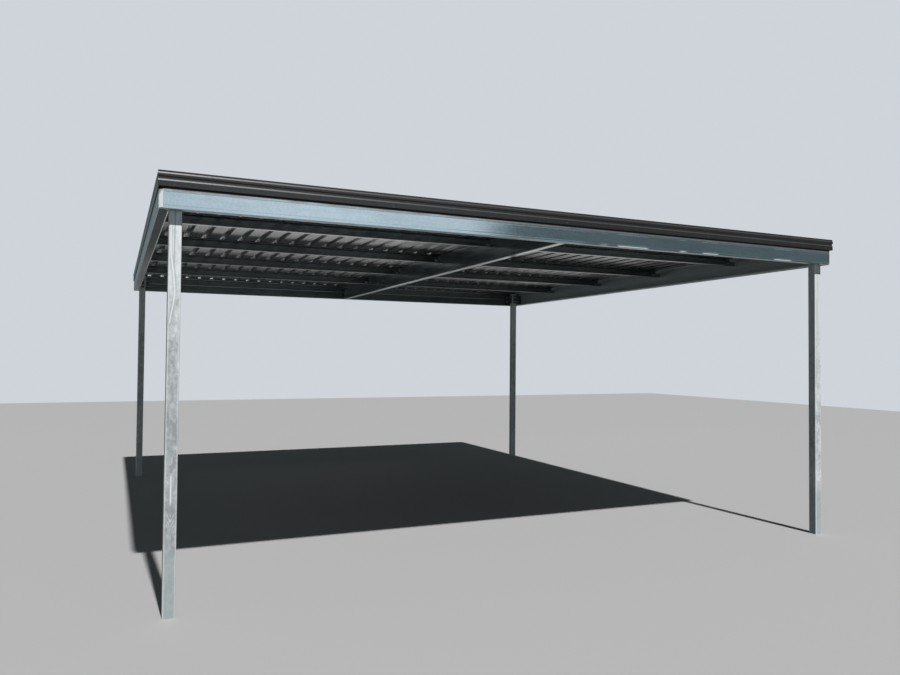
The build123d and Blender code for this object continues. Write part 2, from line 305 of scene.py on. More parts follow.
@dataclass(frozen=True)
class RolledZinc:
    """Pre-galvanised sheet of the beams, purlins and cleats: fine spangle and long soft streaks."""

    name: str
    run: Run
    light: Colour = (0.30, 0.325, 0.33)
    dark: Colour = (0.17, 0.19, 0.19)
    metal: float = 0.93
    roughness: float = 0.10
    crystals: Pattern = Pattern(1.0 / 0.011)
    streaks: Pattern = Pattern(26.0, detail=4.0)
    clouds: Pattern = Pattern(1.4, (1.0, 1.0, 0.6))
    tone: Shares = (-0.55, 0.24, 0.55, 1.3)
    grain: Shares = (0.03, 0.07)
    relief: Shares = (0.0, 0.5, 0.5)
    bump: Bump = (0.0004, 0.12)
    faces_inward: Rise = (-0.5, -2.0)
    # Painted light on the bends: a light colour paints a sheen on them, a dark colour paints shade.
    worn_and_painted_light: Layer = Layer((0.85, 0.89, 0.90))
    wear_and_painted_light: float = 0.12
    bend_foot: Rise = (-0.15, -0.4)
    bend_head: Rise = (-0.97, -0.88)
    # Painted fill light: faces that look into the carport are made lighter and matt, as if more light reached
    # them.
    inner_fill_light: Layer = Layer((0.62, 0.66, 0.66), 1.0)
    inner_fill: float = 0.0
    inner_fill_rough: float = 0.4
    # Painted shade on faces that look down, lighter towards the back.
    underside_shade: Layer = Layer((0.03, 0.035, 0.035), 0.7)
    underside_shading: float = 0.0
    faces_down: Rise = (-0.97, -0.99)
    underside_shade_fades: Rise = (-2.5, 1.0)
    underside_shade_fade: float = 0.45
    # The flange lip at this x gets a painted highlight in place of the painted shade.
    bright_lip: float = -1.0
    lip_edge: float = 0.005
    lip_sheen: float = 0.8
    dirt: Layer = Layer((0.20, 0.19, 0.18), 0.7)
    # Painted shadow of the flashing's edge: a near-black strip right under it.
    flashing_shadow: Layer = Layer((0.007, 0.009, 0.012), 1.0)
    flashing_foot: float = math.inf
    dirt_reach: float = 0.042
    flashing_shadow_reach: float = 0.016
    flashing_shadow_edge: float = 0.002
    fall: float = 0.0
    specks: Pattern = Pattern(19.0, (0.3, 1.0, 1.0), 6.0, (0.32, 0.68))
    dirty: Shares = (0.35, 0.6)
    dirt_rough: float = 0.15
    # Painted glints along the web's foot, with painted shade on the bend between them.
    glint: Layer = Layer((0.97, 0.99, 0.99), 0.9)
    glints_from: float = math.inf
    glints_fade: float = 0.2
    glints_below: float = 0.0
    glint_edge: float = 0.002
    glint_slope: Rise = (-0.55, -0.4)
    dashes: Pattern = Pattern(2.1, (1.0, 0.0, 0.0), 2.0, (0.50, 0.55))
    between: Layer = Layer((0.03, 0.035, 0.035), 0.8)
    gap_shade: float = 0.8
    gap_shade_foot: Rise = (-0.04, -0.15)
    gap_shade_head: Rise = (-0.995, -0.95)

    def build(self) -> Material:
        """Makes the material.

        Returns:
            The material.
        """
        paint = Paint(self.name)
        crystals = paint.spangle(self.crystals)
        streaks = paint.noise(self.streaks.along(self.run))
        tone = blend(self.tone, crystals, streaks, paint.noise(self.clouds))
        rough = blend((self.roughness, *self.grain), crystals, streaks)
        coat = Coat(paint, paint.mix(tone, self.dark, self.light), self.metal, rough)
        sideways, endways, slope = paint.parts(paint.normal)
        inward = (paint.x * sideways + paint.y * endways).step(*self.faces_inward)
        # Painted sheen on the bends, and painted shade where the bend colour is dark.
        coat.lay(slope.step(*self.bend_foot) * slope.step(*self.bend_head) * self.wear_and_painted_light, self.worn_and_painted_light)
        # Painted fill light on the faces that look inward.
        if self.inner_fill:
            inside = inward * self.inner_fill
            coat.lay(inside, self.inner_fill_light)
            coat.rough = coat.rough + self.inner_fill_rough * inside
        if self.underside_shading:
            self.add_underside_shade(coat, slope)
        if math.isfinite(self.flashing_foot):
            self.add_dirt_and_shadow(coat, 1.0 - inward)
        if math.isfinite(self.glints_from):
            self.add_glints(coat, slope)
        normal = paint.bump(blend(self.relief, crystals, streaks), *self.bump)
        return paint.surface(coat.colour, Metallic=coat.metal, Roughness=coat.rough, Normal=normal)

    def add_underside_shade(self, coat: Coat, slope: Shade) -> None:
        """Paints shade on the underside, less towards the back, and a painted highlight on its lip.

        Args:
            coat: The coat so far.
            slope: Z of the surface's normal.
        """
        paint = coat.paint
        lip = abs(paint.x).step(self.bright_lip + 2.0 * self.lip_edge, self.bright_lip + self.lip_edge)
        nearness = 1.0 - self.underside_shade_fade * paint.y.step(*self.underside_shade_fades)
        # Painted shade on the underside, with a painted highlight on the lip.
        underside_shade = slope.step(*self.faces_down) * self.underside_shading * (1.0 - lip) * nearness
        coat.lay(underside_shade, self.underside_shade)
        coat.lay(self.lip_sheen * lip, self.worn_and_painted_light)
        coat.rough = paint.maths("MAXIMUM", coat.rough, underside_shade)

    def add_dirt_and_shadow(self, coat: Coat, outward: Shade) -> None:
        """Adds rain dirt below the flashing's edge, and a painted shadow of the flashing in the strip right
        under it.

        Args:
            coat: The coat so far.
            outward: 1 on faces that look away from the carport, 0 on those that look into it.
        """
        paint = coat.paint
        shadow_foot = self.flashing_foot - self.flashing_shadow_reach
        level = paint.z + paint.y * self.fall
        height = level.step(self.flashing_foot - self.dirt_reach, shadow_foot)
        soiled = height * outward * blend(self.dirty, paint.noise(self.specks))
        # Painted shadow in the strip right under the flashing's edge.
        shadowed = level.step(shadow_foot - self.flashing_shadow_edge, shadow_foot) * outward
        coat.lay(soiled, self.dirt)
        coat.lay(shadowed, self.flashing_shadow)
        coat.rough = paint.maths("MAXIMUM", coat.rough + self.dirt_rough * soiled, shadowed)

    def add_glints(self, coat: Coat, slope: Shade) -> None:
        """Adds painted glints along the web's foot, and painted shade on the bend between them.

        Args:
            coat: The coat so far.
            slope: Z of the surface's normal.
        """
        paint = coat.paint
        dashes = paint.noise(self.dashes)
        there = paint.x.step(self.glints_from, self.glints_from + self.glints_fade)
        edge = paint.z.step(self.glints_below, self.glints_below - self.glint_edge)
        bend = slope.step(*self.gap_shade_foot) * slope.step(*self.gap_shade_head)
        # Painted shade on the bend between the dashes, then the painted glints.
        coat.lay(self.gap_shade * bend * there * (1.0 - dashes), self.between)
        coat.lay(edge * slope.step(*self.glint_slope) * dashes * there, self.glint)


@dataclass(frozen=True)
class ZincRun:
    """A run of zinc down a post's face that may swing to one side and back."""

    low: float
    high: float
    start: float
    half_width: float
    swing: float = 0.0
    crown: float = 1.0
    swing_from: float = 2.0
    halo: float = 0.009
    soft_end: float = 0.04

    def middle(self, paint: Paint) -> Shade:
        """Place of the run's middle across the face, at each height."""
        rise = paint.z.step(self.low, self.crown) * paint.z.step(self.swing_from, self.crown)
        return self.start + self.swing * rise

    def mask(self, paint: Paint, across: Shade, beyond: float = 0.0) -> Shade:
        """Where the run is.

        Args:
            paint: The material's paint.
            across: Distance across the face from its middle.
            beyond: How far the mask reaches beyond the run's edges.

        Returns:
            1 on the run, 0 off it.
        """
        near = abs(across - self.middle(paint)).step(self.half_width + beyond, beyond)
        foot = paint.z.step(self.low, self.low + self.soft_end)
        return near * foot * paint.z.step(self.high, self.high - self.soft_end)


@dataclass(frozen=True)
class Chevrons:
    """Nested V shapes on a post's face, where the zinc gathered as it ran off."""

    middle: float
    ripple: float = 0.042
    lean: float = 2.2
    waver: float = 0.03
    wavering: Pattern = Pattern(30.0)
    crest: Rise = (0.1, 0.9)
    reach: float = 0.07
    width: Rise = (0.034, 0.022)
    patches: Pattern = Pattern(45.0)
    patchy: Shares = (0.15, 0.6)

    def mask(self, paint: Paint, across: Shade) -> Shade:
        """Where the shapes are.

        Args:
            paint: The material's paint.
            across: Distance across the face from its middle.

        Returns:
            Brightness from 0 to 1.
        """
        rise = paint.z - self.middle
        level = rise - abs(across) * self.lean + self.waver * paint.noise(self.wavering)
        wave = (level * (math.tau / self.ripple)).sine().step(*self.crest)
        near = abs(rise).step(self.reach, self.reach / 2) * abs(across).step(*self.width)
        return wave * near * blend(self.patchy, paint.noise(self.patches))


@dataclass(frozen=True)
class DippedZinc:
    """Hot-dipped square tube of a post: mottled zinc, runs, a dark seam and worn light corners."""

    name: str
    middle: Pair
    half: float
    top: float
    runs: tuple[ZincRun, ...] = ()
    chevrons: Chevrons | None = None
    light: Colour = (0.80, 0.83, 0.84)
    dark: Colour = (0.34, 0.36, 0.375)
    bright: Colour = (0.95, 0.97, 0.97)
    damp: Colour = (0.42, 0.49, 0.49)
    metal: float = 0.15
    faces_sideways: Rise = (0.4, 0.6)
    crystals: Pattern = Pattern(1.0 / 0.015, (1.0, 1.0, 0.7))
    mottle: Pattern = Pattern(24.0, (1.0, 1.0, 0.4), 6.0)
    patches: Pattern = Pattern(3.4, (1.0, 1.0, 0.5), 2.0)
    tone: Shares = (-1.25, 0.35, 1.4, 1.1, 0.9)
    bloom: float = 0.0
    # The post's tone gets lighter from this height up to its top.
    lightens_from: float = 1.5
    damp_rise: Rise = (0.56, 0.42)
    damp_shares: Shares = (0.45, 0.5)
    corner_rise: Rise = (0.7, 0.92)
    corner_shares: Shares = (0.25, 0.6)
    run_strength: float = 0.85
    halo_strength: float = 0.4
    seam_depth: float = 0.25
    seam_middle: float = -0.003
    seam_from_run: float = 0.013
    seam_edge: Rise = (0.0065, 0.002)
    seam_below_top: Rise = (0.85, 0.45)
    rough: Shares = (0.50, -0.12, 0.12)
    relief: Shares = (0.0, 0.4, 0.6, 1.0)
    bump: Bump = (0.0006, 0.45)

    def build(self) -> Material:
        """Makes the material.

        Returns:
            The material.
        """
        paint = Paint(self.name)
        side = abs(paint.parts(paint.normal)[0]).step(*self.faces_sideways)
        across = (paint.x - self.middle[0]) * (1.0 - side) + (paint.y - self.middle[1]) * side
        crystals = paint.spangle(self.crystals)
        mottle, patches = paint.noise(self.mottle), paint.noise(self.patches)
        tone = blend(self.tone, crystals, mottle, patches, paint.z.step(self.lightens_from, self.top))
        colour = paint.mix(tone + self.bloom, self.dark, self.light)
        colour = paint.mix(paint.z.step(*self.damp_rise) * blend(self.damp_shares, mottle), colour, self.damp)
        corner = abs(across).step(*(self.half * share for share in self.corner_rise))
        colour = paint.mix(corner * blend(self.corner_shares, patches), colour, self.bright)
        bright = self.chevrons.mask(paint, across) if self.chevrons else 0.0 * across
        for run in self.runs:
            bright = paint.maths("MAXIMUM", bright, run.mask(paint, across))
            colour = paint.mix(self.halo_strength * run.mask(paint, across, run.halo), colour, self.dark)
        colour = paint.mix(bright * self.run_strength, colour, self.bright)
        colour = paint.mix(self.seam(paint, across) * self.seam_depth, colour, self.dark)
        normal = paint.bump(blend(self.relief, crystals, mottle, bright), *self.bump)
        rough = blend(self.rough, bright, mottle)
        return paint.surface(colour, Metallic=self.metal, Roughness=rough, Normal=normal)

    def seam(self, paint: Paint, across: Shade) -> Shade:
        """The dark line down the post's upper part, which keeps to the right of the first run.

        Args:
            paint: The material's paint.
            across: Distance across the face from its middle.

        Returns:
            1 on the line, 0 off it.
        """
        middle: Value = self.seam_middle
        if self.runs:
            middle = paint.maths("MAXIMUM", self.runs[0].middle(paint) + self.seam_from_run, middle)
        line = abs(across - middle).step(*self.seam_edge)
        return line * paint.z.step(*(self.top - below for below in self.seam_below_top))


@dataclass(frozen=True)
class RoofSteel:
    """Ribbed sheet: dark paint on top, and a bare coated underside that is stained and semi-gloss."""

    name: str
    top: Colour = (0.060, 0.057, 0.056)
    dust: Colour = (0.15, 0.148, 0.144)
    below: Colour = (0.155, 0.158, 0.157)
    stain: Colour = (0.075, 0.077, 0.075)
    metal: float = 0.92
    faces_up: Rise = (-0.2, 0.2)
    clouds: Pattern = Pattern(4.5, Run.ALONG_Y.value)
    blots: Pattern = Pattern(13.0, (1.0, 0.6, 1.0), 5.0, (0.48, 0.70))
    stains: Shares = (0.0, 0.6, 0.35)
    dusting: Pattern = Pattern(7.0, Run.ALONG_Y.value, 4.0, (0.4, 0.8))
    dusty: float = 0.16
    rough: Shares = (0.20, 0.13, 0.22)
    bump: Bump = (0.0012, 0.2)

    def build(self) -> Material:
        """Makes the material.

        Returns:
            The material.
        """
        paint = Paint(self.name)
        up = paint.parts(paint.normal)[2].step(*self.faces_up)
        clouds = paint.noise(self.clouds)
        below = paint.mix(blend(self.stains, paint.noise(self.blots), clouds), self.below, self.stain)
        above = paint.mix(paint.noise(self.dusting) * self.dusty, self.top, self.dust)
        rough = blend(self.rough, clouds, up)
        normal = paint.bump(clouds, *self.bump)
        colour = paint.mix(up, below, above)
        return paint.surface(colour, Metallic=self.metal * (1.0 - up), Roughness=rough, Normal=normal)


@dataclass(frozen=True)
class DarkPaint:
    """Charcoal paint of the fascia, barges and gutter, with rain streaks, a trace of dust and a painted sheen
    on the ledges that face up.
    """

    name: str
    run: Run
    base: Colour = (0.0195, 0.0195, 0.0205)
    dust: Colour = (0.066, 0.064, 0.064)
    gloss: float = 0.3
    roughness: float = 0.29
    streaks: Pattern = Pattern(5.0)
    rain: Pattern = Pattern(48.0, (1.0, 1.0, 0.04), 3.0, (0.45, 0.85))
    specks: Pattern = Pattern(260.0, detail=2.0, rise=(0.62, 0.75))
    ledge_sheen: Rise = (0.12, 0.3)
    # The last share is a painted sheen on the ledges that face up.
    tone: Shares = (0.0, 0.28, 0.2, 0.2, 0.55)
    rough: Shares = (0.08, 0.05, 0.07)
    grain: Pattern = Pattern(900.0, detail=1.0)
    bump: Bump = (0.00008, 0.4)

    def build(self) -> Material:
        """Makes the material.

        Returns:
            The material.
        """
        paint = Paint(self.name)
        streaks, rain = paint.noise(self.streaks.along(self.run)), paint.noise(self.rain)
        # Painted sheen: ledges that face up are lighter.
        ledge_sheen = paint.parts(paint.normal)[2].step(*self.ledge_sheen)
        tone = blend(self.tone, streaks, rain, paint.noise(self.specks), ledge_sheen)
        rough = blend((self.roughness, *self.rough), streaks, rain, ledge_sheen)
        normal = paint.bump(paint.noise(self.grain), *self.bump)
        colour = paint.mix(tone, self.base, self.dust)
        return paint.surface(colour, Roughness=rough, Specular_IOR_Level=self.gloss, Normal=normal)


@dataclass(frozen=True)
class FastenerFinish:
    """Plating or paint of screws, bolts and rivets, which a fine noise wears."""

    name: str
    base: Colour
    worn_and_painted_light: Colour
    wear_and_painted_light: Pattern
    rough: Shares
    worn_share: float = 1.0
    metal: float = 0.0

    def build(self) -> Material:
        """Makes the material.

        Returns:
            The material.
        """
        paint = Paint(self.name)
        wear_and_painted_light = paint.noise(self.wear_and_painted_light)
        colour = paint.mix(wear_and_painted_light * self.worn_share, self.base, self.worn_and_painted_light)
        return paint.surface(colour, Metallic=self.metal, Roughness=blend(self.rough, wear_and_painted_light))


PLATED = FastenerFinish(
    "plated_steel", (0.36, 0.37, 0.37), (0.62, 0.63, 0.62), Pattern(300.0), rough=(0.3, 0.2), metal=0.85
)
PAINTED = FastenerFinish(
    "painted_head",
    (0.075, 0.070, 0.067),
    (0.30, 0.29, 0.28),
    Pattern(420.0, rise=(0.55, 0.8)),
    rough=(0.42, 0.1),
    worn_share=0.6,
)


@dataclass(frozen=True)
class PaleFloor:
    """The studio's plain pale floor."""

    name: str = "pale_floor"
    colour: Colour = (0.40, 0.40, 0.395)
    roughness: float = 0.9

    def build(self) -> Material:
        """Makes the material."""
        return Paint(self.name).surface(self.colour, Roughness=self.roughness)


def clear_selection() -> None:
    """Leaves edit mode and deselects every object."""
    if bpy.context.object and bpy.context.object.mode != "OBJECT":
        bpy.ops.object.mode_set(mode="OBJECT")
    bpy.ops.object.select_all(action="DESELECT")


def select_edges_at(height: float, tolerance: float = 1e-5) -> None:
    """Selects the active mesh's edges that lie flat at a height, in edit mode.

    Args:
        height: Their height in the mesh's own axes.
        tolerance: Largest distance from that height.
    """
    bpy.ops.mesh.select_all(action="DESELECT")
    bpy.ops.object.mode_set(mode="OBJECT")
    mesh = bpy.context.object.data
    for edge in mesh.edges:
        edge.select = all(abs(mesh.vertices[end].co.z - height) < tolerance for end in edge.vertices)
    bpy.ops.object.mode_set(mode="EDIT")
    bpy.ops.mesh.select_mode(type="EDGE")


def add_cylinder(sides: int, radius: float, depth: float, middle: float) -> None:
    """Adds an upright cylinder on the Z axis, with its middle at that height."""
    centre = (0.0, 0.0, middle)
    bpy.ops.mesh.primitive_cylinder_add(vertices=sides, radius=radius, depth=depth, location=centre)


@dataclass(frozen=True)
class Fastener:
    """A fastener modelled upright with its seat at z = 0, ready to be copied to its places."""

    name: str
    slot: Slot = Slot.STEEL
    sharp_angle: float = 35.0

    def model(self) -> Piece:
        """Models the first one."""
        raise NotImplementedError

    def spread(self, name: str, seats: Iterable[Seat], finish: Material) -> None:
        """Copies the fastener to its seats, joins the copies and fixes them to the carport.

        Args:
            name: Name of the joined piece, which stays at the origin and unturned.
            seats: The seat's point and the way the head looks, for each copy.
            finish: Its material.
        """
        first = self.model()
        clear_selection()
        for point, facing in seats:
            copy = first.copy()
            copy.data = first.data.copy()
            bpy.context.collection.objects.link(copy)
            turn = Vector(Facing.UP.value).rotation_difference(Vector(facing.value))
            copy.matrix_world = Matrix.LocRotScale(Vector(point), turn, None)
            copy.select_set(True)
        bpy.data.objects.remove(first)
        bpy.context.view_layer.objects.active = bpy.context.selected_objects[0]
        bpy.ops.object.join()
        bpy.ops.object.transform_apply(location=True, rotation=True, scale=True)
        bpy.ops.object.shade_smooth_by_angle(angle=math.radians(self.sharp_angle))
        piece = bpy.context.object
        piece.name = name
        piece.data.name = name
        piece.data.materials.clear()
        piece.data.materials.append(finish)
        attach(piece, BODY)
        LOG.info("%s: %d faces", piece.name, len(piece.data.polygons))
        clear_selection()


@dataclass(frozen=True)
class HexHead(Fastener):
    """Hexagon head on a round washer, with an optional shank below it and a nut on its far end."""

    washer_radius: float = 0.008
    washer_height: float = 0.0016
    washer_sides: int = 16
    across_flats: float = 0.008
    head_height: float = 0.0045
    rim: float = 0.07  # share of the width across flats
    shank_radius: float = 0.0
    shank_length: float = 0.0
    shank_sides: int = 8
    point: float = 2.4  # length of the drill point in shank radii
    grip: float = 0.0
    nut: float = 1.25  # height in heads
    thread: float = 0.3  # radius as a share of the width across flats
    thread_end: float = 2.0  # length in heads
    thread_sides: int = 10

    def model(self) -> Piece:
        """Models one.

        Returns:
            The fastener, with its seat at z = 0 and its head above.
        """
        clear_selection()
        add_cylinder(self.washer_sides, self.washer_radius, self.washer_height, self.washer_height / 2)
        fastener = bpy.context.object
        fastener.name = self.name
        bpy.ops.object.transform_apply(location=True)
        bpy.ops.object.mode_set(mode="EDIT")
        select_edges_at(self.washer_height)
        bpy.ops.mesh.bevel(offset=self.washer_height / 3, segments=1)
        self.add_hexagon(self.washer_height, self.head_height)
        if self.shank_length:
            self.add_shank()
        if self.grip:
            self.add_far_side()
        bpy.ops.object.mode_set(mode="OBJECT")
        return fastener

    def add_hexagon(self, low: float, height: float) -> None:
        """Adds a hexagon with a bevelled outer rim.

        Args:
            low: Height of its inner face.
            height: Its height, which is negative below the seat.
        """
        add_cylinder(6, self.across_flats / math.sqrt(3.0), abs(height), low + height / 2)
        select_edges_at(low + height)
        bpy.ops.mesh.bevel(offset=self.across_flats * self.rim, segments=2)

    def add_shank(self) -> None:
        """Adds the shank, which ends in a drill point."""
        add_cylinder(self.shank_sides, self.shank_radius, self.shank_length, -self.shank_length / 2)
        point_length = self.shank_radius * self.point
        tip = (0.0, 0.0, -self.shank_length - point_length / 2)
        bpy.ops.mesh.primitive_cone_add(
            vertices=self.shank_sides,
            radius1=0.0,
            radius2=self.shank_radius,
            depth=point_length,
            location=tip,
        )

    def add_far_side(self) -> None:
        """Adds the washer, nut and thread end on the far side of the grip."""
        low = -self.grip - self.washer_height
        add_cylinder(self.washer_sides, self.washer_radius, self.washer_height, low + self.washer_height / 2)
        self.add_hexagon(low, -self.head_height * self.nut)
        thread_radius = self.across_flats * self.thread
        thread_length = self.head_height * self.thread_end
        add_cylinder(self.thread_sides, thread_radius, thread_length, low - thread_length / 2)
        select_edges_at(low - thread_length)
        bpy.ops.mesh.bevel(offset=thread_radius / 4, segments=1)


@dataclass(frozen=True)
class DomeRivet(Fastener):
    """Blind rivet: a low dome with a dimple where its stem broke off."""

    radius: float = 0.005
    height: float = 0.0015
    sides: int = 14
    rings: int = 8
    stem: float = 0.24  # share of the radius
    stem_rise: float = 0.3  # share of the height
    stem_sides: int = 10

    def model(self) -> Piece:
        """Models one.

        Returns:
            The rivet, with its seat at z = 0.
        """
        clear_selection()
        bpy.ops.mesh.primitive_uv_sphere_add(segments=self.sides, ring_count=self.rings, radius=self.radius)
        rivet = bpy.context.object
        rivet.name = self.name
        bpy.ops.object.mode_set(mode="EDIT")
        bpy.ops.mesh.select_all(action="SELECT")
        bpy.ops.mesh.bisect(plane_co=(0, 0, 0), plane_no=(0, 0, 1), clear_inner=True, use_fill=True)
        bpy.ops.mesh.select_all(action="SELECT")
        squash = (1.0, 1.0, self.height / self.radius)
        bpy.ops.transform.resize(value=squash, center_override=(0.0, 0.0, 0.0))
        add_cylinder(self.stem_sides, self.radius * self.stem, self.height * self.stem_rise, self.height)
        bpy.ops.object.mode_set(mode="OBJECT")
        return rivet


@dataclass
class Roof:
    """Ribbed roof sheets and the screws that hold them to the purlins and the back beam."""

    rib_pitch: float = 0.190
    fall: float = 0.0075
    flange_middle: float = 0.028
    digits: int = 4  # that tell two rows of purlins apart
    screw: HexHead = HexHead(
        "roof_screw", Slot.ROOF, washer_radius=0.0075, shank_radius=0.00275, shank_length=0.043
    )

    def sheets(self) -> list[str]:
        """Names of the sheets' nodes, from left to right."""
        return sorted(named("roof_sheet"))

    def crest(self, y: float) -> float:
        """Height of the ribs' tops at a place along the fall."""
        low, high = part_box(self.sheets()[0])
        return high.z - self.fall * (y - low.y)

    def rib_places(self) -> list[float]:
        """Middle of every rib across the roof.

        Returns:
            Its x, from left to right.
        """
        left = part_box(self.sheets()[0])[0].x
        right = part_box(self.sheets()[-1])[1].x
        pitches = int((right - left) / self.rib_pitch)
        return [(rib - pitches / 2) * self.rib_pitch for rib in range(pitches + 1)]

    def dress(self, steel: Material) -> None:
        """Gives the sheets their finish."""
        give_finish("roof_sheet", steel)

    def build(self, finish: Material) -> None:
        """Sets a screw on every rib over each purlin and over the back beam.

        Args:
            finish: The screws' material.
        """
        rows = sorted({round(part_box(name)[1].y, self.digits) for name in named("purlin_left")})
        rows = [y - self.flange_middle for y in rows]
        rows.append(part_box("back_beam")[1].y - self.flange_middle)
        seats = [((x, y, self.crest(y)), Facing.UP) for y in rows for x in self.rib_places()]
        self.screw.spread("roof_screws", seats, finish)


@dataclass
class Edging:
    """Fascia, barges and the rivets on their faces and on the fascia's leg over the ribs."""

    roof: Roof
    steel: float = 0.0006
    rivet_pitch: float = 1.675
    rivets_beside: int = 2  # on each side of a face's middle rivet
    rivet_rise: float = 0.016
    low_back: float = 0.002
    lap_back: float = 0.032
    mitre_room: float = 0.12
    rivet: DomeRivet = DomeRivet("rivet", Slot.FLASHING)

    def dress(self, across: Material, along: Material) -> None:
        """Gives the fascia and the barges the paint that streaks the way they run."""
        give_finish("front_fascia", across)
        give_finish("barge", along)

    def build(self, finish: Material) -> None:
        """Sets the rivets of the faces and those of the fascia's leg."""
        self.rivet.spread("edge_rivets", self.face_seats(), finish)
        self.rivet.spread("lap_rivets", self.lap_seats(), finish)

    def face_seats(self) -> list[Seat]:
        """Seats on the lowest band of the fascia and of both barges.

        Returns:
            The seats, with the fascia's first.
        """
        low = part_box("front_fascia")[0]
        y, z = low.y + self.low_back, low.z + self.rivet_rise
        steps = [step * self.rivet_pitch for step in range(-self.rivets_beside, self.rivets_beside + 1)]
        seats: list[Seat] = [((x, y, z), Facing.FRONT) for x in steps]
        for name, facing in (("barge_left", Facing.LEFT), ("barge_right", Facing.RIGHT)):
            barge_low, barge_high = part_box(name)
            x = barge_low.x + self.low_back if facing is Facing.LEFT else barge_high.x - self.low_back
            for step in steps:
                y = (barge_low.y + barge_high.y) / 2 + step
                z = low.z + self.rivet_rise - self.roof.fall * (y - low.y)
                seats.append(((x, y, z), facing))
        return seats

    def lap_seats(self) -> list[Seat]:
        """Seats on the fascia's leg, one on each rib between the mitres.

        Returns:
            The seats, from left to right.
        """
        low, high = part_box("front_fascia")
        y = high.y - self.lap_back
        z = self.roof.crest(y) + self.steel
        ribs = self.roof.rib_places()
        return [((x, y, z), Facing.UP) for x in ribs if abs(x) < high.x - self.mitre_room]


